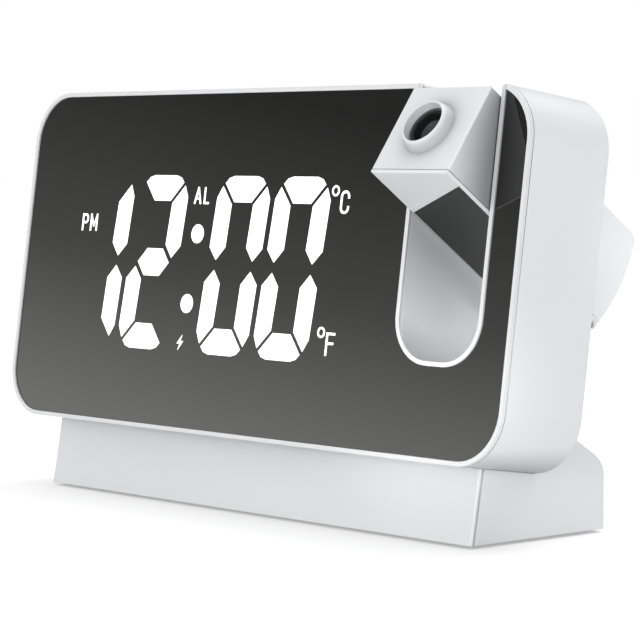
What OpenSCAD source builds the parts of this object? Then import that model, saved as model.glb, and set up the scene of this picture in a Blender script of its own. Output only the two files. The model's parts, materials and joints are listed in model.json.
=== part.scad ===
// Projection alarm clock: a mirror-fronted clock body on a wedge stand, with a
// box-shaped projector arm that turns through a slot in the body.
// Millimetres, +Z up, front towards -Y. The origin is the middle of the
// space the clock takes up, on the surface that the rubber feet stand on.
// The body's own frame starts at its lower front edge: x across, y to the rear,
// z up the face. The arm's own frame starts on its pivot, upright: z to the lens.

/* [Body] */
// Width of the clock body
body_w = 190; // [176:1:230]
// Height of the body, measured up its sloping face
body_h = 88.5; // [84:0.5:108]
// Depth of the body from face to back
body_d = 27; // [25.5:0.5:33]
// Corner radius of the body's front outline
corner_r = 13.5; // [9:0.5:16]
// Wall of the rear housing
wall = 2; // [1.6:0.1:2.6]
// Rounding of the housing's back edge
back_edge = 1.2; // [0.5:0.1:1.5]
// How far the face leans back
tilt = 8; // [4:1:12]

/* [Front frame] */
// Width of the white rim seen from the front
rim_w = 1.1; // [1:0.1:2.4]
// Depth of the rim before the seam to the housing
rim_d = 1; // [0.8:0.1:1.4]
// Width of the seam groove between rim and housing
seam = 0.2; // [0.1:0.05:0.4]
// Thickness of the mirror panel
panel_t = 1.6; // [1.2:0.1:2]
// How far the panel lies behind the rim
panel_recess = 0.4; // [0.3:0.1:0.8]
// Width of the backing frame behind the panel's edge
ledge_w = 14; // [12:0.5:14.5]

/* [Stand] */
// Width of the stand
stand_w = 163; // [150:1:175]
// Depth of the stand's footprint
stand_d = 45.5; // [43:0.5:60]
// Height of the body's lower front edge above the stand's underside
body_lift = 19; // [17:0.5:24]
// How far the body's lower edge stands out in front of the stand
overhang = 5.3; // [3:0.1:6]
// Lean of the stand's front face from the vertical
stand_lean = 10; // [4:1:14]
// Height of the stand's vertical back
stand_back_h = 16; // [12:0.5:18]
// How far the stand reaches up the body's back
support_h = 14.2; // [13.4:0.2:19]
// Wall of the stand
stand_wall = 2.2; // [1.8:0.1:2.6]
// Rounding of the stand's upright edges
stand_edge = 0.7; // [0.5:0.1:2]
// Width and depth of the groove beside the stand's front upright edges
stand_groove = 0.7; // [0.4:0.1:1]
// Rounding of the stand's upper rear corner
stand_corner = 8; // [4:0.5:10]
// Height of the rubber feet below the stand
foot_h = 0.8; // [0.6:0.1:1.5]

/* [Projector arm] */
// Width of the arm
arm_w = 25.6; // [25:0.2:30]
// Thickness of the arm
arm_t = 24.2; // [23:0.1:24.8]
// Pivot to lens face
lens_reach = 25.9; // [24.6:0.1:28]
// How far the lens face stands above the body's top when the arm is upright
arm_rise = 1.8; // [0:0.1:3]
// Upright arm's back to the back of the body
arm_back_gap = 0.7; // [0.4:0.1:1.6]
// Wall of the arm
arm_wall = 1.8; // [1.5:0.1:2]
// Rounding of the arm's long and lens-end edges
arm_edge = 0.6; // [0.4:0.1:1.2]
// Rounding of the edges of the arm's round tail
tail_edge = 4; // [3:0.5:6]
// How far the arm leans forward from upright, as the clock is set
arm_angle = 62.5; // [0:0.1:90]
// Body's right side to the slot
strip_w = 10.6; // [10:0.2:14]
// Height of the slot's floor at the face
slot_floor = 23.4; // [21:0.1:26]
// Corner radius of the slot's floor
slot_corner = 10.4; // [8:0.2:11]
// Gap between the arm's sides and the slot
side_gap = 0.4; // [0.4:0.05:0.8]
// Gap between the arm's round tail and the slot's floor
swing_gap = 0.4; // [0.4:0.05:1]
// Wall around the slot
slot_wall = 2; // [1.6:0.1:2]
// Rounding of the slot's two upper corners
slot_flare = 1; // [0.6:0.1:2]
// Width of the white lip around the slot, seen from the front
lip_w = 1.1; // [0.6:0.05:1.2]

/* [Display] */
// Slant of the digits, sideways per unit of height
slant = 0.078; // [0:0.002:0.15]
// Height of the digits' centre line on the face
digit_z = 43.3; // [42:0.1:46]
// Spacing of the two digits in a pair
digit_pitch = 22.7; // [22:0.1:23]
// Thickness of the lit windows on the mirror panel
window_t = 0.12; // [0.1:0.02:0.2]

/* [Buttons] */
// Length of a button
button_l = 11; // [8:0.5:13]
// Width of a button
button_w = 5; // [4:0.5:6]
// Travel of a button
button_travel = 0.8; // [0.5:0.1:1]
// How far a button stands out of the back
button_proud = 1.4; // [1:0.1:2.5]

/* [Optics] */
// Inner radius of the lens collar
collar_r = 5.4; // [5:0.1:5.6]
// Wall of the lens collar at its foot
collar_wall = 1.6; // [1.2:0.1:2]
// Thickness of the collar's lip
collar_lip = 0.6; // [0.4:0.1:1]
// Height of the lens collar above the lens face
collar_h = 2.9; // [2.4:0.1:4]
// Focus ring's face below the collar's lip
ring_sunk = 2.1; // [1.2:0.1:2.4]
// Radius of the pivot axles
axle_r = 4; // [3.5:0.1:4.5]

/* [Hidden] */
$fn = 64;

// clearances
fit = 0.1;          // pieces that drop into each other
seat_gap = 0.05;    // body on the stand's cradle
run = 0.07;         // turning and sliding fits, on the radius
past = 1;           // cuts run this far past a face

// plastics and finishes
white = [0.91, 0.915, 0.93];
inner_white = [0.82, 0.83, 0.84];
dark_glass = [0.16, 0.16, 0.16];
black = [0.05, 0.05, 0.055];
board_green = [0.05, 0.30, 0.16];
steel = [0.70, 0.71, 0.73];
lit = [1, 1, 1];

// the stand's front and back at the foot: the arm's tail reaches out behind,
// so the stand's middle lies a little before the origin
stand_before = 0.6;
stand_front = -stand_d / 2 - stand_before;
stand_back = stand_d / 2 - stand_before;

// body frame in the world
body_y = stand_front - overhang;
body_z = foot_h + body_lift;

// depths in the body, front to back
ledge_y = panel_recess + panel_t;
bezel_t = ledge_y + 1;
back_y = body_d - wall;
spigot_in = 0.6;
box_t = 6;
display_y = ledge_y + box_t;
display_t = 1.2;
main_y = display_y + display_t + 2.8;
main_t = 1.2;
post_y = main_y;

// slot and pivot
slot_w = arm_w + 2 * side_gap;
slot_x = body_w / 2 - strip_w - slot_w / 2;
pivot_z = body_h + arm_rise - lens_reach;
pivot_y = body_d - arm_back_gap - arm_t / 2;
slot_swing = sqrt(pow(pivot_z - slot_floor, 2) + pow(pivot_y, 2));
tail_r = slot_swing - swing_gap;
tail_corner = slot_corner - swing_gap;

// places on the body, as [x, z]
digit_x0 = -37.55;
digit_x1 = digit_x0 + 32.6;
digit_centres = [digit_x0 - digit_pitch, digit_x0, digit_x1, digit_x1 + digit_pitch];
colon_x = -21;
colon_z = [-10.3, 7.8];
colon_r = 2.45;
post_r = 3;
posts = [
    [-body_w / 2 + 11, 11],
    [-body_w / 2 + 11, body_h - 11],
    [slot_x - 25, body_h - 11],
    [slot_x, 10.5],
    [body_w / 2 - (strip_w + slot_wall - wall) / 2, 45]
];
button_z = 70;
button_pitch = 18;
button_x0 = -71;
button_names = 5;
speaker_at = [-58, 40];
speaker_r = 14;
inlet_at = [-12, 32];
cell_at = [30, 40];
cell_r = 10;
door = 26;
door_t = 1.8;
door_ledge = 1.4;
sensor_at = [-83, 28];
standoff_r = 2.2;
standoffs = [for (x = [-36, 44], z = [24, 58]) [x, z]];
cradle_screw_x = [-60, 0, 60];
cradle_screw_y = 15;
cradle_screw_r = 1.25;
cradle_screw_in = 6;

// light box behind the panel
box_x = [-73.5, 41.5];
box_z = [17.5, 70.5];

// arm optics, as distances up from the pivot
ring_r = collar_r - run;
ring_wall = 0.48;
cell_out_r = ring_r - ring_wall - run;
lens_r = cell_out_r - 0.48;
frame_half = collar_r + 2.1;
frame_low = -12;
frame_top = 10;
ring_top = lens_reach + collar_h - ring_sunk;
cell_top = ring_top - 0.4;
tube_r = collar_r + 1.2;
flange_t = 0.7;
flange_seam = 0.12;
inlay_t = 0.5;
inlay_rim = 0.6;
screw_high = 17;
screw_low = -30;
arm_post_x = (tube_r + arm_w / 2 - arm_wall) / 2;
arm_post_r = min(1.9, arm_post_x - tube_r - 0.3);
arm_screw_at = [
    [-arm_post_x, screw_high],
    [arm_post_x, screw_high],
    [-7, screw_low],
    [7, screw_low]
];

// ---- frames and helpers ----

// puts the body's own frame in the world
module in_body() translate([0, body_y, body_z]) rotate([-tilt, 0, 0]) children();

// puts the upright arm's frame on its pivot, turned to where the arm is set
module in_arm() in_body() translate([slot_x, pivot_y, pivot_z]) rotate([arm_angle, 0, 0]) children();

// extrudes an [x, z] outline from y0 to y1
module slab(y0, y1) translate([0, y1, 0]) rotate([90, 0, 0]) linear_extrude(y1 - y0) children();

// extrudes a [y, z] outline from x0 to x1
module along_x(x0, x1) translate([x0, 0, 0]) rotate([90, 0, 90]) linear_extrude(x1 - x0) children();

// a cylinder along y at an [x, z] place
module peg(at, r, y0, y1) translate([at[0], y1, at[1]]) rotate([90, 0, 0]) cylinder(h = y1 - y0, r = r);

// a cylinder along x, centred on the x axis
module axle_peg(r, x0, x1) translate([x0, 0, 0]) rotate([0, 90, 0]) cylinder(h = x1 - x0, r = r);

// a block between two [x, z] corners
module block(a, b, y0, y1) translate([a[0], y0, a[1]]) cube([b[0] - a[0], y1 - y0, b[1] - a[1]]);

// a rectangle with round corners, from its lower left corner
module round_rect(w, h, r) {
    translate([r, 0]) square([w - 2 * r, h]);
    translate([0, r]) square([w, h - 2 * r]);
    for (x = [r, w - r], z = [r, h - r]) translate([x, z]) circle(r);
}

// a pill-shaped outline, centred
module pill(l, w) {
    square([l - w, w], center = true);
    for (s = [-1, 1]) translate([s * (l - w) / 2, 0]) circle(w / 2);
}

// the body's front outline, drawn in by a distance
module outline(inset) translate([-body_w / 2 + inset, inset])
    round_rect(body_w - 2 * inset, body_h - 2 * inset, max(corner_r - inset, 0.5));

// the body's outer form from a depth to its back, with the back edge rounded
module soft_body(y0) {
    half = body_w / 2 - corner_r;
    e = back_edge;
    module edge_profile(reach) {
        translate([0, y0]) square([reach - e, body_d - y0]);
        translate([0, y0]) square([reach, body_d - e - y0]);
        translate([reach - e, body_d - e]) circle(e);
    }
    for (x = [-half, half], z = [corner_r, body_h - corner_r])
        translate([x, 0, z]) rotate([-90, 0, 0]) rotate_extrude() edge_profile(corner_r);
    translate([0, 0, corner_r]) linear_extrude(body_h - 2 * corner_r) for (s = [0, 1]) mirror([s, 0])
        edge_profile(body_w / 2);
    translate([0, 0, body_h / 2]) along_x(-half, half) for (s = [0, 1]) mirror([0, s])
        rotate(90) mirror([0, 1]) edge_profile(body_h / 2);
}

// the slot's outline on the face, grown by a distance and open at the top
module slot_outline(grow) {
    w = slot_w + 2 * grow;
    r = slot_corner + grow;
    translate([slot_x - w / 2, slot_floor - grow]) {
        translate([0, r]) square([w, body_h]);
        translate([r, 0]) square([w - 2 * r, body_h]);
        for (x = [r, w - r]) translate([x, r]) circle(r);
    }
}

// the round sweep of the arm's tail about the pivot, its axis along x
module sweep(r, w, corner) rotate([0, 90, 0]) rotate_extrude($fn = 96) translate([0, -w / 2]) {
    square([r - corner, w]);
    translate([0, corner]) square([r, w - 2 * corner]);
    for (x = [corner, w - corner]) translate([r - corner, x]) circle(corner);
}

// the slot as a space through the body: a straight cut with a hollowed floor
module slot_space(grow) {
    slab(-past, body_d + past) slot_outline(grow);
    translate([slot_x, pivot_y, pivot_z]) sweep(slot_swing + grow, slot_w + 2 * grow, slot_corner + grow);
}

// rounds one corner where the slot opens through the body's top: into is how far
// the slot's side lies within the width of the body's own round corner
module flare_corner(into) {
    lean = asin(max(0, into + slot_flare) / (corner_r - slot_flare));
    drop = corner_r - (corner_r - slot_flare) * cos(lean);
    translate([slot_w / 2, body_h - drop]) difference() {
        translate([-past, 0]) square([past + slot_flare * (1 + sin(lean)), corner_r]);
        translate([slot_flare, 0]) circle(slot_flare);
    }
}

// rounds both corners where the slot opens through the body's top
module flare_cut() slab(-past, body_d + past) translate([slot_x, 0]) {
    flare_corner(corner_r - strip_w);
    mirror([1, 0]) flare_corner(-slot_flare);
}

// a cross recess in a screw's head, as a cut that starts on the x-y plane
module cross_recess(r) for (turn = [0, 90]) rotate(turn)
    translate([-r * 0.65, -r * 0.13, -recess_d]) cube([r * 1.3, r * 0.26, recess_d + past]);

recess_d = 0.7;

// a screw along y: head towards +y at y1, shank down to y0
module screw_y(at, head_r, head_h, r, y0, y1) difference() {
    union() {
        peg(at, head_r, y1 - head_h, y1);
        peg(at, r, y0, y1 - head_h + 0.01);
    }
    translate([at[0], y1, at[1]]) rotate([-90, 0, 0]) cross_recess(head_r);
}

// ---- stand ----

// a place given in the body's [y, z], as the world's [y, z]
function body_point(y, z) = [
    body_y + y * cos(tilt) + z * sin(tilt),
    body_z - y * sin(tilt) + z * cos(tilt)
];

// outline of the stand's side down to a height, drawn in by w elsewhere
function stand_outline(w, low_z = foot_h) =
    let (
        lean = tan(stand_lean),
        front = stand_front + w / cos(stand_lean),
        under = seat_gap + w,
        behind = body_d + seat_gap + w,
        s = (front + (body_z - under * cos(tilt) - foot_h) * lean - body_y + under * sin(tilt))
            / (cos(tilt) + sin(tilt) * lean),
        top = body_point(body_d + seat_gap, support_h),
        low = [stand_back, foot_h + stand_back_h],
        slope = atan2(top[1] - low[1], low[0] - top[0]),
        drop = w / cos(slope),
        bend = [
            stand_back - stand_corner,
            low[1] - stand_corner * (1 - sin(slope)) / cos(slope)
        ],
        bend_r = stand_corner - w,
        rise = (low[1] - drop + (stand_back - body_y - behind * cos(tilt)) * tan(slope)
            - body_z + behind * sin(tilt)) / (cos(tilt) + sin(tilt) * tan(slope))
    )
    [
        [front - (foot_h - low_z) * lean, low_z],
        body_point(s, -under),
        body_point(behind, -under),
        body_point(behind, rise),
        bend + (bend_r - 0.02) * [sin(slope), cos(slope)],
        bend,
        bend + [bend_r, 0],
        [stand_back - w, low_z]
    ];

// the stand's side, with its upper rear corner rounded
module stand_side(w, low_z = foot_h) {
    pts = stand_outline(w, low_z);
    polygon(pts);
    translate(pts[5]) circle(stand_corner - w);
}

// the stand's outer form, its upright edges rounded
module stand_form() intersection() {
    along_x(-stand_w / 2, stand_w / 2) stand_side(0);
    translate([-stand_w / 2, stand_front, foot_h]) rotate([-stand_lean, 0, 0])
        translate([0, 0, -stand_h]) linear_extrude(3 * stand_h) round_rect(stand_w, 3 * stand_d, stand_edge);
    translate([-stand_w / 2, stand_back - 3 * stand_d, 0]) linear_extrude(3 * stand_h)
        round_rect(stand_w, 3 * stand_d, stand_edge);
}

stand_h = body_lift + support_h;
plate_t = 2.4;
plate_y0 = stand_front + stand_wall / cos(stand_lean) + 0.5 + fit;
plate_y1 = stand_back - stand_wall - fit;
boss_r = 3.6;
boss_at = [for (x = [-1, 1], y = [0.25, 0.8]) [x * stand_w * 0.3, stand_front + y * stand_d]];
foot_r = 5;
foot_at = [for (x = [-1, 1], y = [stand_front + 9, stand_back - 9]) [x * (stand_w / 2 - 14), y]];
foot_seat = 0.6;
stand_screw_r = 1.2;

module cradle_screw_holes(r, z0, z1) in_body() for (x = cradle_screw_x)
    translate([x, cradle_screw_y, z0]) cylinder(h = z1 - z0, r = r);

module stand_shell() color(white) difference() {
    union() {
        difference() {
            stand_form();
            along_x(-stand_w / 2 + stand_wall, stand_w / 2 - stand_wall) stand_side(stand_wall, foot_h - past);
        }
        intersection() {
            along_x(-stand_w / 2, stand_w / 2) stand_side(stand_wall / 2);
            for (p = boss_at) translate([p[0], p[1], foot_h + plate_t]) cylinder(h = 40, r = boss_r);
        }
    }
    for (s = [-1, 1]) translate([s * stand_w / 2, stand_front, foot_h]) rotate([-stand_lean, 0, 0])
        translate([-stand_groove, stand_edge, -stand_h]) cube([2 * stand_groove, stand_groove, 3 * stand_h]);
    for (p = boss_at) translate([p[0], p[1], 0]) cylinder(h = foot_h + plate_t + 7, r = stand_screw_r);
    cradle_screw_holes(1.6, -stand_wall - past, past);
}

module base_plate() color(inner_white) difference() {
    translate([-stand_w / 2 + stand_wall + fit, plate_y0, foot_h])
        cube([stand_w - 2 * (stand_wall + fit), plate_y1 - plate_y0, plate_t]);
    for (p = foot_at) translate([p[0], p[1], foot_h - past]) cylinder(h = past + foot_seat, r = foot_r);
    for (p = boss_at) translate([p[0], p[1], 0]) {
        cylinder(h = foot_h + 1.6, r = 2.6);
        cylinder(h = foot_h + plate_t + past, r = 1.5);
    }
}

module rubber_feet() color([0.16, 0.16, 0.17]) for (p = foot_at)
    translate([p[0], p[1], 0]) cylinder(h = foot_h + foot_seat, r = foot_r);

module stand_screws() color(steel) for (p = boss_at) translate([p[0], p[1], foot_h + 0.2]) difference() {
    union() {
        cylinder(h = 1.4, r = 2.4);
        cylinder(h = 8, r = stand_screw_r);
    }
    mirror([0, 0, 1]) cross_recess(2.4);
}

module body_screws() color(steel) in_body() for (x = cradle_screw_x)
    translate([x, cradle_screw_y, -seat_gap - stand_wall - 1.6]) {
        cylinder(h = 1.6, r = 2.6);
        cylinder(h = 1.6 + stand_wall + seat_gap + cradle_screw_in, r = cradle_screw_r);
    }

// ---- body ----

module front_bezel() color(white) in_body() difference() {
    union() {
        slab(0, rim_d) outline(0);
        slab(rim_d - 0.01, bezel_t) outline(spigot_in);
        for (p = posts) peg(p, post_r, bezel_t - 0.01, post_y);
    }
    slab(-past, ledge_y) outline(rim_w);
    slab(0, bezel_t + past) outline(rim_w + ledge_w);
    slab(-past, ledge_y) slot_outline(lip_w + fit);
    flare_cut();
    intersection() {
        slab(ledge_y - 0.01, body_d) square([2 * body_w, 3 * body_h], center = true);
        slot_space(slot_wall + fit);
    }
    for (p = posts) peg(p, 1.1, bezel_t, post_y + past);
}

module mirror_panel() color(dark_glass) in_body() slab(panel_recess, ledge_y) difference() {
    outline(rim_w + fit);
    slot_outline(lip_w + fit);
}

module rear_housing() color(white) in_body() difference() {
    union() {
        difference() {
            soft_body(rim_d + seam);
            slab(0, bezel_t) outline(spigot_in - fit);
            slab(0, back_y) outline(wall);
        }
        intersection() {
            soft_body(ledge_y);
            slot_space(slot_wall);
        }
        slab(0, ledge_y + 0.01) intersection() {
            outline(0);
            slot_outline(lip_w);
        }
        for (p = posts) peg(p, post_r, post_y, back_y + 0.01);
        for (p = standoffs) peg(p, standoff_r, main_y + main_t, back_y + 0.01);
        for (x = [button_x0 - 10.5, button_x0 + 4 * button_pitch + 10.5])
            peg([x, button_z], 2, board_y + 1.2, back_y + 0.01);
        block([cell_at[0] - door / 2 - 2, cell_at[1] - door / 2 - 2],
            [cell_at[0] + door / 2 + 2, cell_at[1] + door / 2 + 2],
            body_d - door_t - door_ledge, back_y + 0.01);
        for (x = cradle_screw_x) translate([x, cradle_screw_y, wall - 0.01]) cylinder(h = 6, r = 3.4);
    }
    slot_space(0);
    flare_cut();
    // groove behind the lip, in line with the seam
    slab(panel_recess, panel_recess + seam) slot_outline(lip_w / 2);
    // screws
    for (p = posts) {
        peg(p, 1.3, post_y - past, body_d + past);
        peg(p, 2.5, body_d - 3, body_d + past);
    }
    for (p = standoffs) peg(p, 0.9, main_y, main_y + main_t + 6);
    for (x = cradle_screw_x) translate([x, cradle_screw_y, -past])
        cylinder(h = past + cradle_screw_in + 0.6, r = cradle_screw_r);
    // buttons
    for (i = [0 : button_names - 1]) translate([button_x0 + i * button_pitch, 0, button_z])
        slab(back_y - past, body_d + past) pill(button_l + 0.6, button_w + 0.6);
    // sound holes
    for (ring = [0 : 3], k = [0 : max(0, ring * 6 - 1)]) {
        turn = ring == 0 ? 0 : k * 360 / (ring * 6);
        peg([speaker_at[0] + 3 * ring * cos(turn), speaker_at[1] + 3 * ring * sin(turn)],
            0.75, back_y - past, body_d + past);
    }
    // power inlet
    translate([inlet_at[0], 0, inlet_at[1]])
        slab(back_y - past, body_d + past) pill(inlet_l + 0.3, inlet_w + 0.3);
    // battery opening with a ledge for its door
    block([cell_at[0] - door / 2, cell_at[1] - door / 2],
        [cell_at[0] + door / 2, cell_at[1] + door / 2], body_d - door_t, body_d + past);
    block([cell_at[0] - door / 2 + 1.5, cell_at[1] - door / 2 + 1.5],
        [cell_at[0] + door / 2 - 1.5, cell_at[1] + door / 2 - 1.5], back_y - door_ledge - past, body_d);
    // air holes at the temperature sensor
    for (k = [-1 : 1]) peg([sensor_at[0], sensor_at[1] + 6 + 3 * k], 0.8, back_y - past, body_d + past);
    // seats of the pivot bushes
    translate([slot_x, pivot_y, pivot_z]) {
        axle_peg(bush_r, -slot_w / 2 - slot_wall - past, -slot_w / 2 + past);
        axle_peg(bush_r, slot_w / 2 - past, slot_w / 2 + slot_wall + past);
    }
}

module case_screws() color(steel) in_body() for (p = posts)
    screw_y(p, 2.3, 1.6, 1.1, post_y - 6, body_d - 1.4);

// ---- display ----

// the seven segments about the digit's centre, as on a clock: a, b, c, d, e, f, g
seg_a = [
    [-7.8, 21], [-6.5, 22.3], [-4.55, 22.85], [4.55, 22.85],
    [6.5, 22.3], [7.8, 21], [3.3, 16.15], [-3.3, 16.15]
];
seg_b = [[8.6, 20.2], [10.3, 17.2], [10.3, 4.5], [7.2, 1.3], [4.15, 4.65], [4.25, 15.6]];
seg_g = [[-3.15, 3.6], [3.15, 3.6], [6.45, 0], [3.15, -3.6], [-3.15, -3.6], [-6.45, 0]];
function mirrored(pts, sx, sz) = [for (p = pts) [sx * p[0], sz * p[1]]];
segments = [
    seg_a,
    seg_b,
    mirrored(seg_b, 1, -1),
    mirrored(seg_a, 1, -1),
    mirrored(seg_b, -1, -1),
    mirrored(seg_b, -1, 1),
    seg_g
];
segment_middles = [[0, 19.1], [7, 10], [7, -10], [0, -19.1], [-7, -10], [-7, 10], [0, 0]];
shown = [[1, 2], [0, 1, 6, 4, 3], [0, 1, 2, 3, 4, 5], [0, 1, 2, 3, 4, 5]];

// a point of a digit, leant over by the slant and set on the face
function on_face(x0, p) = [x0 + p[0] + slant * p[1], digit_z + p[1]];

module segment(x0, s) polygon([for (p = segments[s]) on_face(x0, p)]);

module colon_dots() for (z = colon_z) translate(on_face(colon_x, [0, z])) circle(colon_r);

// strokes of the small legends: a bar between two points
module stroke(a, b, w) translate(a) rotate(atan2(b[1] - a[1], b[0] - a[0]))
    translate([-w / 2, -w / 2]) square([norm(b - a) + w, w]);

// the bowed part of a letter: a round-cornered ring
module bow(w, h, r, t) difference() {
    round_rect(w, h, r);
    translate([t, t]) round_rect(w - 2 * t, h - 2 * t, r - t);
}

module letter_p(h, t) {
    square([t, h]);
    translate([0, h * 0.42]) bow(h * 0.56, h * 0.58, h * 0.25, t);
}

module letter_m(h, t) {
    for (x = [0, h * 0.66 - t]) translate([x, 0]) square([t, h]);
    stroke([t / 2, h - t / 2], [h * 0.33, h * 0.3], t * 0.8);
    stroke([h * 0.66 - t / 2, h - t / 2], [h * 0.33, h * 0.3], t * 0.8);
}

module letter_a(h, t) {
    stroke([t / 2, t / 2], [h * 0.33, h - t / 2], t);
    stroke([h * 0.66 - t / 2, t / 2], [h * 0.33, h - t / 2], t);
    stroke([h * 0.16, h * 0.32], [h * 0.5, h * 0.32], t * 0.8);
}

module letter_l(h, t) {
    square([t, h]);
    square([h * 0.48, t]);
}

module letter_c(h, t) difference() {
    bow(h * 0.56, h, h * 0.27, t);
    translate([h * 0.36, h * 0.34]) square([h, h * 0.32]);
}

module letter_f(h, t) {
    square([t, h]);
    translate([0, h - t]) square([h * 0.55, t]);
    translate([0, h * 0.48]) square([h * 0.48, t]);
}

module degree(r, t) difference() {
    circle(r);
    circle(r - t);
}

module flash(h) polygon([
    [h * 0.50, h], [0, h * 0.42], [h * 0.30, h * 0.42],
    [h * 0.14, 0], [h * 0.64, h * 0.60], [h * 0.34, h * 0.60]
]);

legend_h = 4.65;
unit_h = 5.7;
pen = 0.55;

module legend_marks() {
    translate([-70.2, 50.9]) letter_p(legend_h, pen);
    translate([-66.6, 50.9]) letter_m(legend_h, pen);
    translate([-23.2, 58.8]) letter_a(legend_h * 0.94, pen);
    translate([-19.3, 58.8]) letter_l(legend_h * 0.94, pen);
    for (row = [57.2, 22.6]) translate([31, row + unit_h - 0.1]) degree(1.35, pen * 0.9);
    translate([33.1, 57.2]) letter_c(unit_h, pen * 1.1);
    translate([33, 22.6]) letter_f(unit_h, pen * 1.1);
    translate([-24.2, 20.9]) flash(4);
}

module digit_windows() color(lit) in_body() slab(panel_recess - window_t, panel_recess) {
    for (d = [0 : 3], s = shown[d]) segment(digit_centres[d], s);
    colon_dots();
}

module legend_windows() color(lit) in_body() slab(panel_recess - window_t, panel_recess) legend_marks();

module light_box() color(inner_white) in_body() difference() {
    block([box_x[0], box_z[0]], [box_x[1], box_z[1]], ledge_y, display_y);
    slab(ledge_y - past, display_y + past) {
        for (x = digit_centres, s = [0 : 6]) segment(x, s);
        colon_dots();
    }
}

module display_board() color(board_green) in_body()
    block([box_x[0] + 1, box_z[0] + 1], [box_x[1] - 1, box_z[1] - 1], display_y, display_y + display_t);

module display_leds() color([0.95, 0.93, 0.80]) in_body() {
    for (x = digit_centres, m = segment_middles) {
        at = on_face(x, m);
        block([at[0] - 1.5, at[1] - 1], [at[0] + 1.5, at[1] + 1], display_y - 0.9, display_y);
    }
    for (z = colon_z) {
        at = on_face(colon_x, [0, z]);
        block([at[0] - 1, at[1] - 1], [at[0] + 1, at[1] + 1], display_y - 0.9, display_y);
    }
}

// ---- electronics behind the display ----

inlet_l = 9;
inlet_w = 3.3;
board_y = 15.4;

module board_connector() color(black) in_body()
    block([-35, 50], [-10, 53], display_y + display_t, main_y);

module main_board() color(board_green) in_body() {
    difference() {
        union() {
            block([-40, 20], [48, 62], main_y, main_y + main_t);
            block([-8, 44], [4, 56], main_y + main_t - 0.01, main_y + main_t + 1.6);
        }
        for (p = standoffs) peg(p, 0.9, main_y - past, main_y + main_t + past);
    }
}

module board_screws() color(steel) in_body() for (p = standoffs) {
    peg(p, 1.8, main_y - 1, main_y);
    peg(p, 0.9, main_y - 0.01, main_y + main_t + 5);
}

module power_inlet() color(steel) in_body() translate([inlet_at[0], 0, inlet_at[1]]) {
    difference() {
        slab(main_y + main_t, body_d - 0.3) pill(inlet_l, inlet_w);
        slab(main_y + main_t + 4, body_d + past) pill(inlet_l - 0.7, inlet_w - 0.7);
    }
    slab(main_y + main_t + 3.9, body_d - 1.5) square([6.6, 0.7], center = true);
}

module speaker() color(black) in_body() {
    peg(speaker_at, speaker_r, back_y - 2, back_y);
    peg(speaker_at, 8, back_y - 6, back_y - 1.9);
}

module temperature_sensor() color(black) in_body()
    block([sensor_at[0] - 2, sensor_at[1] - 3], [sensor_at[0] + 2, sensor_at[1] + 1], back_y - 4, back_y);

cell_y = main_y + main_t + 4.6;
cell_t = 3.2;

module cell_holder() color(black) in_body() difference() {
    peg(cell_at, cell_r + 1.5, main_y + main_t, cell_y + cell_t);
    peg(cell_at, cell_r + 0.15, cell_y, cell_y + cell_t + past);
}

module coin_cell() color(steel) in_body() peg(cell_at, cell_r, cell_y, cell_y + cell_t);

module battery_door() color(white) in_body() difference() {
    block([cell_at[0] - door / 2 + 0.2, cell_at[1] - door / 2 + 0.2],
        [cell_at[0] + door / 2 - 0.2, cell_at[1] + door / 2 - 0.2], body_d - door_t, body_d);
    // finger notch
    translate([cell_at[0], 0, cell_at[1] + door / 2]) slab(body_d - 0.9, body_d + past) pill(12, 3);
}

// ---- buttons on the back ----

module button_board() color(board_green) in_body()
    block([button_x0 - 13, button_z - 4.5], [button_x0 + 4 * button_pitch + 13, button_z + 4.5],
        board_y, board_y + 1.2);

switch_y = back_y - 0.3 - 1.2 - button_travel - 0.1;

module tact_switches() color(black) in_body() for (i = [0 : button_names - 1]) {
    at = [button_x0 + i * button_pitch, button_z];
    block([at[0] - 3, at[1] - 3], [at[0] + 3, at[1] + 3], board_y + 1.2, switch_y - 1);
    peg(at, 1.7, switch_y - 1.01, switch_y);
}

// a button cap with the flange that keeps it in its hole
module button(i) color(white) in_body() translate([button_x0 + i * button_pitch, 0, button_z]) {
    slab(back_y - 0.3 - 0.01, body_d + button_proud) pill(button_l, button_w);
    slab(back_y - 1.5, back_y - 0.3) pill(button_l + 2, button_w + 2);
}

module button_snooze() button(0);
module button_mode() button(1);
module button_set() button(2);
module button_up() button(3);
module button_down() button(4);

// ---- pivot ----

bush_r = axle_r + 2;
bush_flange = 1;
clip_t = 0.8;
axle_end = slot_w / 2 + slot_wall + bush_flange + fit + clip_t + 0.6;

module pivot_bushes() color(black) in_body() translate([slot_x, pivot_y, pivot_z]) for (s = [-1, 1])
    mirror([s < 0 ? 1 : 0, 0, 0]) difference() {
        union() {
            axle_peg(bush_r, slot_w / 2, slot_w / 2 + slot_wall + 0.01);
            axle_peg(bush_r + 1, slot_w / 2 + slot_wall, slot_w / 2 + slot_wall + bush_flange);
        }
        axle_peg(axle_r + run, 0, axle_end);
    }

// one hollow axle stub on the arm's +x side
module axle_stub() difference() {
    axle_peg(axle_r, arm_w / 2 - arm_wall, axle_end);
    axle_peg(axle_r - 1.8, 0, axle_end + past);
}

module axle_left() color(steel) in_arm() mirror([1, 0, 0]) axle_stub();
module axle_right() color(steel) in_arm() axle_stub();

module friction_washers() color(steel) in_arm() for (s = [0, 1]) mirror([s, 0, 0]) difference() {
    axle_peg(axle_r + 3.5, arm_w / 2, arm_w / 2 + side_gap - 0.2);
    axle_peg(axle_r, 0, axle_end);
}

module axle_clips() color(steel) in_arm() for (s = [0, 1]) mirror([s, 0, 0]) difference() {
    axle_peg(axle_r + 1.6, axle_end - 0.6 - clip_t, axle_end - 0.6);
    axle_peg(axle_r, 0, axle_end + past);
}

// ---- projector arm ----

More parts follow.
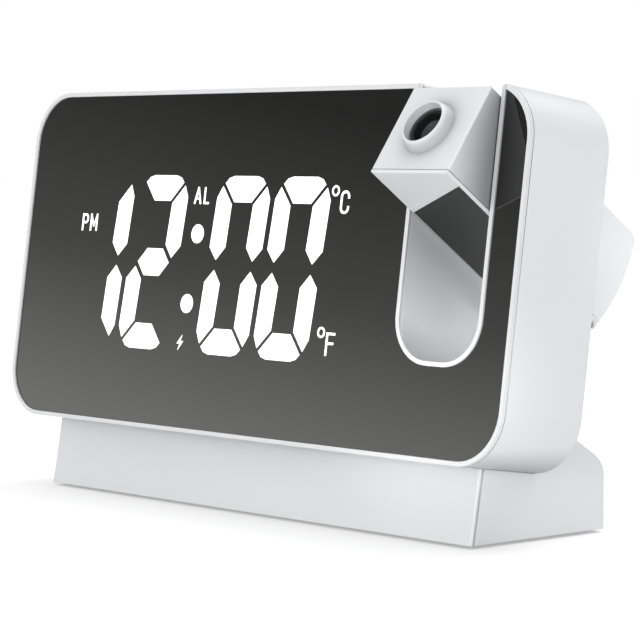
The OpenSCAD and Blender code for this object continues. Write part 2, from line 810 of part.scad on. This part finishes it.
// the arm seen from its side, drawn in by a distance: square lens end, round tail
module arm_side(inset) {
    half = arm_t / 2 - inset;
    top = lens_reach - inset;
    e = max(arm_edge - inset, 0.1);
    bend = max(tail_edge - inset, 0.5);
    low = -sqrt(pow(tail_r - inset - bend, 2) - pow(half - bend, 2));
    translate([-half, low]) square([2 * half, top - e - low]);
    translate([e - half, low]) square([2 * (half - e), top - low]);
    for (s = [-1, 1]) {
        translate([s * (half - e), top - e]) circle(e);
        translate([s * (half - bend), low]) circle(bend);
    }
    polygon([[0, 0], 1.5 * [bend - half, low], 1.5 * [half - bend, low]]);
}

// the arm's outer form, drawn in by a distance
module arm_form(inset) {
    w = arm_w - 2 * inset;
    t = arm_t - 2 * inset;
    e = max(arm_edge - inset, 0.1);
    intersection() {
        translate([-w / 2, -t / 2, -2 * tail_r]) linear_extrude(4 * tail_r) round_rect(w, t, e);
        along_x(-arm_w, arm_w) arm_side(inset);
        slab(-arm_t, arm_t) translate([-w / 2, -2 * tail_r])
            round_rect(w, 2 * tail_r + lens_reach - inset, e);
        union() {
            sweep(tail_r - inset, w, tail_corner - inset);
            translate([-w, -2 * tail_r, 0]) cube([2 * w, 4 * tail_r, 4 * tail_r]);
        }
    }
}

// keeps what lies between two depths of the arm
module arm_layer(y0, y1) intersection() {
    children();
    translate([-arm_w, y0, -2 * tail_r]) cube([2 * arm_w, y1 - y0, 4 * tail_r]);
}

// the housing's opening towards the cover, drawn in by a distance
module arm_opening(inset) {
    w = arm_w - 2 * inset;
    r = tail_corner - inset;
    low = -sqrt(pow(tail_r - inset, 2) - pow(arm_t / 2, 2));
    h = lens_reach - inset - low;
    translate([-w / 2, low]) {
        translate([0, r]) square([w, h - r]);
        translate([r, 0]) square([w - 2 * r, h]);
        for (x = [r, w - r]) translate([x, r]) circle(r);
    }
}

// half section of the collar: a cone that ends in a thin rounded lip
module collar_profile() {
    lip = collar_lip / 2;
    middle = collar_r + lip;
    low = collar_h - lip;
    polygon([[0, 0], [collar_r + collar_wall, 0], [middle + lip, low], [0, low]]);
    translate([middle, low]) circle(lip);
    square([middle, collar_h]);
}

module arm_housing() color(white) in_arm() difference() {
    union() {
        difference() {
            arm_layer(-arm_t / 2 + flange_t + flange_seam, arm_t) arm_form(0);
            arm_form(arm_wall);
            slab(-arm_t, 0) arm_opening(arm_wall);
        }
        translate([0, 0, lens_reach - 0.01]) rotate_extrude() collar_profile();
        for (p = arm_screw_at) peg(p, arm_post_r, arm_t / 2 - arm_wall - 4, arm_t / 2 - arm_wall + 0.01);
    }
    translate([0, 0, lens_reach - arm_wall - past]) cylinder(h = arm_wall + collar_h + 2 * past, r = collar_r);
    axle_peg(axle_r, -arm_w, arm_w);
    for (p = arm_screw_at) {
        peg(p, 1, 0, arm_t);
        peg(p, 1.8, arm_t / 2 - 1.3, arm_t);
    }
}

// outline of the dark inlay on the arm's front: its upper edge runs aslant
module inlay_area(grow) intersection() {
    arm_form(inlay_rim - grow);
    along_front() polygon([
        [-arm_w, inlay_left + grow - inlay_slope * (arm_w - arm_w / 2)],
        [arm_w, inlay_left + grow + inlay_slope * (arm_w + arm_w / 2)],
        [arm_w, -2 * tail_r],
        [-arm_w, -2 * tail_r]
    ]);
}

// height of the inlay's slanting edge at the arm's left side, and its slope
inlay_left = lens_reach - 16.9;
inlay_slope = 11.7 / arm_w;

module along_front() slab(-arm_t, arm_t) children();

module arm_cover() color(white) in_arm() difference() {
    union() {
        arm_layer(-arm_t / 2, -arm_t / 2 + flange_t) arm_form(0);
        slab(-arm_t / 2 + flange_t - 0.01, -arm_t / 2 + arm_wall) arm_opening(arm_wall + fit);
        for (p = arm_screw_at)
            peg(p, arm_post_r, -arm_t / 2 + arm_wall - 0.01, arm_t / 2 - arm_wall - 4);
    }
    arm_layer(-arm_t, -arm_t / 2 + inlay_t) translate([0, -inlay_rim, 0]) inlay_area(0);
    for (p = arm_screw_at) peg(p, 0.8, -arm_t / 2 + arm_wall, arm_t);
}

module arm_glass() color(dark_glass) in_arm()
    arm_layer(-arm_t / 2, -arm_t / 2 + inlay_t) translate([0, -inlay_rim, 0]) inlay_area(-0.05);

module arm_screws() color(steel) in_arm() for (p = arm_screw_at)
    screw_y(p, 1.7, 1, 0.8, 0, arm_t / 2 - 0.3);

// ---- projector optics, along the arm ----

module lens_tube(r, hole, z0, z1) translate([0, 0, z0]) difference() {
    cylinder(h = z1 - z0, r = r);
    translate([0, 0, -past]) cylinder(h = z1 - z0 + 2 * past, r = hole);
}

module optics_frame() color(black) in_arm() difference() {
    union() {
        translate([-frame_half, -frame_half, frame_low])
            cube([2 * frame_half, 2 * frame_half, frame_top - frame_low]);
        translate([0, 0, frame_top - 0.01]) cylinder(h = lens_reach - arm_wall - frame_top + 0.01, r = tube_r);
    }
    translate([0, 0, frame_low - past]) cylinder(h = lens_reach + 2 * tail_r, r = collar_r);
    // the slide's pocket, open to the back
    translate([-frame_half + 1.2, -frame_half + 1.2, 4]) cube([2 * frame_half - 2.4, 2 * frame_half, 1.1]);
    // the condenser's seat
    translate([0, 0, -condenser_seat]) cylinder(h = condenser_seat, r = collar_r + 0.8);
}

module focus_ring() color(black) in_arm()
    lens_tube(ring_r, ring_r - ring_wall, screw_high - 1, ring_top);

module lens_cell() color(black) in_arm() difference() {
    lens_tube(cell_out_r, lens_r - 0.6, 15.5, cell_top);
    translate([0, 0, lens_low]) cylinder(h = 20, r = lens_r);
}

lens_low = cell_top - 3.6;

// a lens between two spheres: flat rim of radius r, bulges of b1 below and b2 above
module bulged_lens(r, edge, b1, b2) {
    s1 = (r * r + b1 * b1) / (2 * b1);
    s2 = (r * r + b2 * b2) / (2 * b2);
    intersection() {
        translate([0, 0, -b1]) cylinder(h = edge + b1 + b2, r = r);
        translate([0, 0, s1 - b1]) sphere(s1);
        translate([0, 0, edge + b2 - s2]) sphere(s2);
    }
}

module projection_lens() color([0.1, 0.1, 0.12]) in_arm()
    translate([0, 0, lens_low + 0.9]) bulged_lens(lens_r, 1.4, 0.9, 1.1);

module slide_panel() color([0.3, 0.32, 0.3]) in_arm()
    translate([-frame_half + 1.3, -frame_half + 1.3, 4]) cube([2 * frame_half - 2.6, 2 * frame_half - 2.6, 1]);

// a lens flat below and domed above: flat edge, then a bulge
module domed_lens(r, edge, bulge) {
    dome = (r * r + bulge * bulge) / (2 * bulge);
    intersection() {
        cylinder(h = edge + bulge, r = r);
        translate([0, 0, edge + bulge - dome]) sphere(dome);
    }
}

condenser_seat = 3;

module condenser_lens() color([0.8, 0.85, 0.88]) in_arm()
    translate([0, 0, -condenser_seat]) domed_lens(collar_r + 0.75, condenser_seat - 0.8, 2.2);

module projector_board() color(board_green) in_arm()
    translate([-frame_half, -frame_half, frame_low - 1.2]) cube([2 * frame_half, 2 * frame_half, 1.2]);

module projector_led() color([0.95, 0.93, 0.80]) in_arm() translate([0, 0, frame_low]) {
    translate([-1.8, -1.8, 0]) cube([3.6, 3.6, 1]);
    translate([0, 0, 0.99]) cylinder(h = 1.3, r = 1.6);
}

lead_r = 0.9;

module arm_lead() color(black) in_arm() {
    low = frame_low - 1.2 - lead_r;
    side = -(frame_half + arm_w / 2 - arm_wall) / 2;
    translate([side, 0, low]) {
        rotate([0, 90, 0]) cylinder(h = 5, r = lead_r);
        cylinder(h = -low, r = lead_r);
        sphere(lead_r);
    }
    axle_peg(lead_r, -axle_end - 4, side);
    translate([side, 0, 0]) sphere(lead_r);
}

stand_shell();
base_plate();
rubber_feet();
stand_screws();
body_screws();
front_bezel();
mirror_panel();
rear_housing();
case_screws();
digit_windows();
legend_windows();
light_box();
display_board();
display_leds();
board_connector();
main_board();
board_screws();
power_inlet();
speaker();
temperature_sensor();
cell_holder();
coin_cell();
battery_door();
button_board();
tact_switches();
button_snooze();
button_mode();
button_set();
button_up();
button_down();
pivot_bushes();
arm_housing();
arm_cover();
arm_glass();
arm_screws();
axle_left();
axle_right();
friction_washers();
axle_clips();
arm_lead();
optics_frame();
focus_ring();
lens_cell();
projection_lens();
slide_panel();
condenser_lens();
projector_led();
projector_board();
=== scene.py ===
"""Looks of the projection alarm clock: the finish of each piece, the studio round it and the camera.

Every piece is the CAD model's own. Sizes are in metres, in the CAD model's frame.
"""
import json
import math

import bpy
import numpy as np
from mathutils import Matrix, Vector

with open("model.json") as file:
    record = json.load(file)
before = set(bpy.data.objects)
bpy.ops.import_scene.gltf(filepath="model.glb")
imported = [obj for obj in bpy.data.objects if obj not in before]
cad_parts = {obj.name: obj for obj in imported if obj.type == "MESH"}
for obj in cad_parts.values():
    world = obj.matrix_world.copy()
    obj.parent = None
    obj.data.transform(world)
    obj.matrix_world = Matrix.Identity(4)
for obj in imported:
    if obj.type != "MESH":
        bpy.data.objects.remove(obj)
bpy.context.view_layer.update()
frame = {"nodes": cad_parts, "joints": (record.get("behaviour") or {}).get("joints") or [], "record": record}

MM = 0.001

# ---------------------------------------------------------------- node helpers

CENTRAL = (0.3, 0.7)    # where most of a noise's values lie


def grey(level):
    return (level, level, level, 1)


class Nodes:
    """A node tree, emptied, with short ways to add to it. A value is a constant or a socket."""

    def __init__(self, owner):
        owner.use_nodes = True
        self.tree = owner.node_tree
        self.tree.nodes.clear()

    def feed(self, socket, value):
        if isinstance(value, bpy.types.NodeSocket):
            self.tree.links.new(value, socket)
        else:
            socket.default_value = value

    def new(self, kind, **values):
        """Node of a kind, its inputs fed by name, with _ for a blank."""
        node = self.tree.nodes.new(kind)
        for name, value in values.items():
            self.feed(node.inputs[name.replace("_", " ")], value)
        return node

    def maths(self, operation, a, b, kind="ShaderNodeMath"):
        """Number that an operation gives for a and b."""
        node = self.tree.nodes.new(kind)
        node.operation = operation
        self.feed(node.inputs[0], a)
        self.feed(node.inputs[1], b)
        return node.outputs["Value"]

    def mix(self, factor, a, b, blend="MIX"):
        """Colour a, which b takes over as factor goes from 0 to 1, in the way that blend names."""
        node = self.tree.nodes.new("ShaderNodeMix")
        node.data_type = "RGBA"
        node.blend_type = blend
        self.feed(node.inputs["Factor"], factor)
        self.feed(node.inputs["A"], a)
        self.feed(node.inputs["B"], b)
        return node.outputs["Result"]

    def carry(self, value, source, target=(0.0, 1.0)):
        """Value carried from the range source to the range target, and held at its ends."""
        node = self.new("ShaderNodeMapRange", Value=value, From_Min=source[0], From_Max=source[1],
                        To_Min=target[0], To_Max=target[1])
        return node.outputs["Result"]

    def ramp(self, value, stops):
        """Colour that follows value through stops, pairs of value and colour."""
        node = self.new("ShaderNodeValToRGB", Fac=value)
        bar = node.color_ramp
        while len(bar.elements) < len(stops):
            bar.elements.new(0.5)
        for element, (position, colour) in zip(bar.elements, stops):
            element.position = position
            element.color = colour
        return node.outputs["Color"]

    def openness(self, reach, samples):
        """1 on an open surface, and less where others stand over it within reach."""
        node = self.new("ShaderNodeAmbientOcclusion", Distance=reach)
        node.samples = samples
        return node.outputs["AO"]


class Finish(Nodes):
    """A material whose patterns lie on the piece's own coordinates, with one Principled shader."""

    def __init__(self, name, **values):
        self.name = name
        self.mat = bpy.data.materials.new(name)
        super().__init__(self.mat)
        self.skin = self.new("ShaderNodeBsdfPrincipled", **values)
        self.new("ShaderNodeOutputMaterial", Surface=self.skin.outputs[0])
        self.place = self.new("ShaderNodeTexCoord").outputs["Object"]

    def noise(self, size, detail, rough=0.5, stretch=None):
        """Cloudy noise whose features are about size wide, packed closer along an axis by stretch."""
        place = self.place
        if stretch:
            place = self.new("ShaderNodeMapping", Vector=place, Scale=stretch).outputs["Vector"]
        node = self.new("ShaderNodeTexNoise", Vector=place, Scale=1 / size, Detail=detail, Roughness=rough)
        return node.outputs["Fac"]

    def cells(self, size):
        """Cell pattern about size wide, 0 at each cell's middle."""
        return self.new("ShaderNodeTexVoronoi", Vector=self.place, Scale=1 / size).outputs["Distance"]

    def tint(self, pattern, low, high, span=CENTRAL):
        """Base colour that drifts from low to high while the pattern crosses span."""
        self.colour = self.ramp(pattern, [(span[0], (*low, 1)), (span[1], (*high, 1))])
        self.feed(self.skin.inputs["Base Color"], self.colour)

    def rough(self, pattern, low, high):
        """Roughness that drifts from low to high with the pattern."""
        self.feed(self.skin.inputs["Roughness"], self.carry(pattern, CENTRAL, (low, high)))

    def relief(self, pattern, depth, strength, edge=0.0):
        """Bump of a depth, over edges that look rounded by the radius edge."""
        bump = self.new("ShaderNodeBump", Height=pattern, Distance=depth, Strength=strength)
        if edge:
            soft = self.new("ShaderNodeBevel", Radius=edge)
            soft.samples = 4
            self.feed(bump.inputs["Normal"], soft.outputs["Normal"])
        self.feed(self.skin.inputs["Normal"], bump.outputs["Normal"])


# ---------------------------------------------------------------- finishes

CASE_LOW = (0.795, 0.800, 0.812)
CASE_HIGH = (0.812, 0.817, 0.830)
# the rim's tone: the case's white painted a little darker, as painted shade on the rim
RIM_PAINTED_SHADE = (0.76, 0.765, 0.777)
CASE_SHINE = 0.34       # roughness
SATIN_DRIFT = 0.03
CASE_EDGE = 0.25 * MM

joints = {joint["name"]: joint for joint in frame["joints"]}
ARM_PIVOT = Vector(joints["arm_tilt"]["pos_m"])
LENS_AXIS = Vector(joints["lens_slide"]["axis"])
LENS_MOUTH = ARM_PIVOT + 28.8 * MM * LENS_AXIS
COLLAR_BALL = (5.85 * MM, 6.3 * MM)     # two radii round the mouth, at the collar's rim, where the arm's painted shade fades out


def scaled(tone, factor):
    return tuple(factor * c for c in tone)


def moulded(name, low, high, shine, edge):
    """Spark-eroded plastic: fine grain, a faint drift of tone, even satin shine."""
    f = Finish(name, IOR=1.47)
    f.tint(f.noise(45 * MM, detail=3), low, high)
    f.rough(f.noise(3 * MM, detail=4), shine - SATIN_DRIFT, shine + SATIN_DRIFT)
    f.relief(f.noise(0.22 * MM, detail=2), depth=0.006 * MM, strength=0.6, edge=edge)
    return f


def shade_painted_case(name, edge, reach, strength, axis, stops, spare=None):
    """The case's plastic with painted shade: a tone darker where its faces stand close to others.

    The painted shade darkens the faces within reach of each other, by their openness to the power
    strength. Along the axis the share of that follows stops, pairs of place and share.
    Round the point spare[0] it fades to none, between the radii in spare[1].
    """
    f = moulded(name, CASE_LOW, CASE_HIGH, CASE_SHINE, edge)
    # painted shade: the faces' openness darkens the base colour itself
    painted_shade = f.maths("POWER", f.openness(reach, samples=8), strength)
    start, end = stops[0][0], stops[-1][0]
    along = f.carry(f.new("ShaderNodeSeparateXYZ", Vector=f.place).outputs[axis], (start, end))
    share = f.ramp(along, [((at - start) / (end - start), grey(level)) for at, level in stops])
    if spare:
        centre, radii = spare
        away = f.maths("DISTANCE", f.place, centre, "ShaderNodeVectorMath")
        share = f.maths("MINIMUM", share, f.carry(away, radii))
    f.feed(f.skin.inputs["Base Color"], f.mix(share, f.colour, painted_shade, "MULTIPLY"))
    return f


def dark_mirror(name, tone, smear):
    """Half-silvered dark panel: mirror-like, with a trace of smear and a slow waviness."""
    f = Finish(name, Metallic=1.0)
    f.tint(f.noise(30 * MM, detail=3), scaled(tone, 0.97), tone)
    f.rough(f.noise(14 * MM, detail=4, rough=0.6), smear, smear + 0.02)
    f.relief(f.noise(40 * MM, detail=1), depth=0.01 * MM, strength=0.2)
    return f


def lit_window(name):
    """White diffusing window with the light behind it, almost even."""
    f = Finish(name, Emission_Strength=1.0)
    f.tint(f.noise(4 * MM, detail=2), (0.975, 0.98, 0.985), (1, 1, 1))
    f.feed(f.skin.inputs["Emission Color"], f.colour)
    f.rough(f.noise(2 * MM, detail=2), 0.4, 0.5)
    f.relief(f.noise(0.3 * MM, detail=1), depth=0.004 * MM, strength=0.4)
    return f


def soft_rubber(name, tone):
    """Dull rubber with a pebbled skin."""
    f = Finish(name)
    f.tint(f.noise(1.5 * MM, detail=4), scaled(tone, 0.8), scaled(tone, 1.25))
    f.rough(f.noise(0.8 * MM, detail=3), 0.72, 0.86)
    f.relief(f.cells(0.35 * MM), depth=0.02 * MM, strength=0.6)
    return f


def turned_steel(name, tone, grain):
    """Plated steel with fine drawn lines."""
    f = Finish(name, Metallic=1.0)
    lines = f.noise(grain, detail=3, rough=0.6, stretch=(1, 1, 14))
    f.tint(lines, scaled(tone, 0.86), tone)
    f.rough(lines, 0.24, 0.36)
    f.relief(lines, depth=0.004 * MM, strength=0.5, edge=0.08 * MM)
    return f


def circuit_board(name):
    """Green solder mask over faint copper tracks."""
    f = Finish(name)
    wave = f.new("ShaderNodeTexWave", Vector=f.place, Scale=0.16 / MM, Distortion=3.0, Detail=1.0)
    tracks = wave.outputs["Fac"]
    f.tint(tracks, (0.010, 0.085, 0.040), (0.020, 0.150, 0.070), span=(0.42, 0.58))
    f.rough(f.noise(1.2 * MM, detail=3), 0.30, 0.44)
    f.relief(tracks, depth=0.02 * MM, strength=0.5)
    return f


def resin_lamp(name):
    """Clear yellowish resin over a small light source."""
    f = Finish(name)
    f.tint(f.noise(1 * MM, detail=2), (0.78, 0.74, 0.52), (0.92, 0.90, 0.76))
    f.rough(f.noise(0.6 * MM, detail=2), 0.12, 0.22)
    f.relief(f.noise(0.3 * MM, detail=1), depth=0.01 * MM, strength=0.4)
    return f


def black_moulding(name, level):
    """Black plastic of the inner fittings, finely grained."""
    f = Finish(name)
    f.tint(f.noise(6 * MM, detail=3), (0.8 * level,) * 3, (1.3 * level,) * 3)
    f.rough(f.noise(1 * MM, detail=3), 0.42, 0.56)
    f.relief(f.noise(0.25 * MM, detail=2), depth=0.01 * MM, strength=0.6, edge=0.1 * MM)
    return f


def lens_glass(name, tone, clear):
    """Coated lens: dark body, hard polish, a trace of the coating's tone."""
    f = Finish(name, IOR=1.4, Transmission_Weight=clear, Coat_Weight=0.3, Coat_Roughness=0.02)
    f.tint(f.noise(5 * MM, detail=1), scaled(tone, 0.8), tone)
    f.rough(f.noise(3 * MM, detail=2), 0.015, 0.035)
    f.relief(f.noise(6 * MM, detail=1), depth=0.002 * MM, strength=0.1)
    return f


slot_finishes = [
    moulded("white_case", CASE_LOW, CASE_HIGH, CASE_SHINE, CASE_EDGE),
    moulded("inner_white", (0.70, 0.705, 0.71), (0.74, 0.745, 0.75), shine=0.55, edge=0.2 * MM),
    moulded("grey_ring", (0.080, 0.080, 0.083), (0.10, 0.10, 0.103), shine=0.4, edge=0.08 * MM),
    dark_mirror("mirror_front", (0.090, 0.090, 0.088), smear=0.03),
    dark_mirror("inlay_front", (0.048, 0.048, 0.046), smear=0.05),
    lit_window("lit_segment"),
    soft_rubber("foot_rubber", (0.022, 0.022, 0.024)),
    soft_rubber("lead_rubber", (0.012, 0.012, 0.013)),
    turned_steel("screw_steel", (0.50, 0.51, 0.53), grain=0.4 * MM),
    turned_steel("plated_steel", (0.62, 0.63, 0.65), grain=0.7 * MM),
    circuit_board("circuit_board"),
    resin_lamp("led_body"),
    black_moulding("black_plastic", level=0.012),
    lens_glass("lens_glass", (0.010, 0.011, 0.013), clear=0.0),
    lens_glass("slide_glass", (0.030, 0.034, 0.034), clear=0.2),
]
node_finishes = {
    # the rim is the case's plastic with painted shade, its tone drifting below the case's
    "front_bezel": moulded("rim_white", RIM_PAINTED_SHADE, CASE_LOW, shine=0.36, edge=0.12 * MM),
    # its painted shade is darkest before the pivot and ends at the tail, and the lens collar has none
    "arm_housing": shade_painted_case(
        "arm_white", CASE_EDGE, reach=16 * MM, strength=1.6,
        axis="Y", stops=[(-4 * MM, 1.0), (8 * MM, 0.0)], spare=(LENS_MOUTH, COLLAR_BALL)),
    # its painted shade is dark at the foot on the stand, not low in the slot, and again behind the arm
    "rear_housing": shade_painted_case(
        "case_white", 0.15 * MM, reach=24 * MM, strength=0.8,
        axis="Z", stops=[(24 * MM, 1.0), (40 * MM, 0.0), (58 * MM, 0.0), (80 * MM, 0.8)]),
}


def dress_nodes():
    """Gives each node its own finish, or else the finish of its slot in the record."""
    by_slot = {finish.name: finish for finish in slot_finishes}
    for part in frame["record"]["subparts"]:
        finish = node_finishes.get(part["node"], by_slot[part["material_slot"]])
        materials = frame["nodes"][part["node"]].data.materials
        materials.clear()
        materials.append(finish.mat)


# ---------------------------------------------------------------- floor and room

FLOOR_REACH = 6.0
FLOOR_STEPS = 25
PAPER_TONE = 0.86       # the floor as the clock sees it
PAPER_SEEN = 0.50       # and as the camera sees it, under a lift that is weaker close under the clock
LIFT_CONTACT = 0.36     # lift close under the clock, lower, which paints a contact shadow
LIFT_OPEN = 0.70        # lift in the open
CONTACT_REACH = 30 * MM
ROOM_LIGHT = 0.68       # what soft surfaces see all round
LOW_GLOW = 2.0          # what polished surfaces see near the horizon
HIGH_GLOW = 0.21        # and a little above it
TOP_GLOW = 0.75         # and overhead
GLOW_BY_HEIGHT = [      # the height is the sine of the angle above the horizon
    (0.00, LOW_GLOW), (0.07, 0.8 * LOW_GLOW), (0.13, 0.3 * LOW_GLOW),
    (0.20, HIGH_GLOW), (0.35, 1.3 * HIGH_GLOW), (0.75, TOP_GLOW), (1.00, TOP_GLOW)]


def floor_paper():
    """Matt paper with the clock's real shadow. To the camera it is greyer but lifted by a glow, less so
    under the clock, where that paints a contact shadow.
    """
    mat = bpy.data.materials.new("pale_floor")
    n = Nodes(mat)
    seen = n.new("ShaderNodeLightPath").outputs["Is Camera Ray"]
    tone = n.mix(seen, grey(PAPER_TONE), grey(PAPER_SEEN))
    # painted contact shadow: the camera's glow weakens where the clock stands over the floor
    level = n.carry(n.openness(CONTACT_REACH, samples=16), (0.0, 1.0), (LIFT_CONTACT, LIFT_OPEN))
    paper = n.new("ShaderNodeBsdfDiffuse", Color=tone)
    lift = n.new("ShaderNodeEmission", Strength=n.maths("MULTIPLY", seen, level))
    both = n.new("ShaderNodeAddShader")
    n.feed(both.inputs[0], paper.outputs[0])
    n.feed(both.inputs[1], lift.outputs[0])
    n.new("ShaderNodeOutputMaterial", Surface=both.outputs[0])
    return mat


def studio_floor():
    """A square grid at z = 0: for u and v from -1 to 1, a point lies at FLOOR_REACH times (u, v)."""
    across = np.linspace(-1, 1, FLOOR_STEPS)
    u, v = np.meshgrid(across, across, indexing="ij")
    points = FLOOR_REACH * np.stack([u, v, np.zeros_like(u)], -1).reshape(-1, 3)
    index = np.arange(FLOOR_STEPS ** 2).reshape(FLOOR_STEPS, FLOOR_STEPS)
    corners = [index[:-1, :-1], index[1:, :-1], index[1:, 1:], index[:-1, 1:]]
    quads = np.stack(corners, -1).reshape(-1, 4)
    mesh = bpy.data.meshes.new("floor")
    mesh.from_pydata(points.tolist(), [], quads.tolist())
    mesh.materials.append(floor_paper())
    floor = bpy.data.objects.new("floor", mesh)
    bpy.context.collection.objects.link(floor)


def studio_room():
    """World: even soft light, white to the camera, and for reflections a glow by height."""
    world = bpy.data.worlds.new("studio")
    bpy.context.scene.world = world
    n = Nodes(world)
    path = n.new("ShaderNodeLightPath")
    gaze = n.new("ShaderNodeTexCoord").outputs["Generated"]
    height = n.new("ShaderNodeSeparateXYZ", Vector=gaze).outputs["Z"]
    glow = n.ramp(height, [(at, grey(level)) for at, level in GLOW_BY_HEIGHT])
    light = n.mix(path.outputs["Is Glossy Ray"], grey(ROOM_LIGHT), glow)
    sight = n.mix(path.outputs["Is Camera Ray"], light, grey(1))
    ground = n.new("ShaderNodeBackground", Color=sight)
    n.new("ShaderNodeOutputWorld", Surface=ground.outputs[0])


# ---------------------------------------------------------------- lamps and camera

LAMP_AIM = (0.05, 0, 0.05)      # the clock's right half
VIEW_WIDTH = 640                # pixels
FOCAL_PIXELS = 2685.875
SENSOR = 36.0                   # millimetres, as Blender has it
FAR_CLIP = 50                   # metres
AIM = Vector((29.41, -23.35, 50.58)) * MM
AZIMUTH = math.radians(48.418)
ELEVATION = math.radians(3.588)
DISTANCE = 652.75 * MM


def stand(name, data, place, gaze):
    """Puts a lamp or a camera at place, looking along gaze."""
    obj = bpy.data.objects.new(name, data)
    obj.location = place
    obj.rotation_euler = gaze.to_track_quat("-Z", "Y").to_euler()
    bpy.context.collection.objects.link(obj)
    return obj


def soft_lamp(name, place, aim, size, watts):
    """A square soft lamp of a size, facing aim."""
    data = bpy.data.lights.new(name, "AREA")
    data.shape = "SQUARE"
    data.size = size
    data.energy = watts
    stand(name, data, place, Vector(aim) - Vector(place))


def snoot(name, place, aim, spread, watts):
    """A small round lamp whose soft-edged cone is spread degrees wide, facing aim."""
    data = bpy.data.lights.new(name, "SPOT")
    data.shadow_soft_size = 0.02
    data.spot_size = math.radians(spread)
    data.spot_blend = 1.0
    data.energy = watts
    stand(name, data, place, Vector(aim) - Vector(place))


def camera():
    """The camera looks along AZIMUTH, from +Y towards -X, and down by ELEVATION, at AIM."""
    level = math.cos(ELEVATION)
    gaze = Vector((-math.sin(AZIMUTH) * level, math.cos(AZIMUTH) * level, -math.sin(ELEVATION)))
    data = bpy.data.cameras.new("camera")
    data.sensor_width = SENSOR
    data.lens = SENSOR * FOCAL_PIXELS / VIEW_WIDTH
    data.clip_end = FAR_CLIP
    bpy.context.scene.camera = stand("camera", data, AIM - gaze * DISTANCE, gaze)


camera()
dress_nodes()
studio_floor()
studio_room()
soft_lamp("overhead", (0.05, 0.45, 0.85), LAMP_AIM, size=0.6, watts=3.6)
soft_lamp("right_side", (0.95, 0.05, 0.30), LAMP_AIM, size=0.5, watts=0.24)
soft_lamp("low_front", (0.36, -0.85, 0.16), (0.02, 0, 0.06), size=0.3, watts=2.2)
soft_lamp("high_front", (0.30, -0.85, 0.50), LAMP_AIM, size=0.3, watts=0.4)
snoot("slot_wall", (0.50, -0.48, 0.10), (0.058, -0.015, 0.034), spread=3.4, watts=17.0)
snoot("tail", (0.75, 0.27, 0.12), (0.084, 0.028, 0.068), spread=3.4, watts=9.0)
bpy.context.scene.view_settings.view_transform = "Standard"
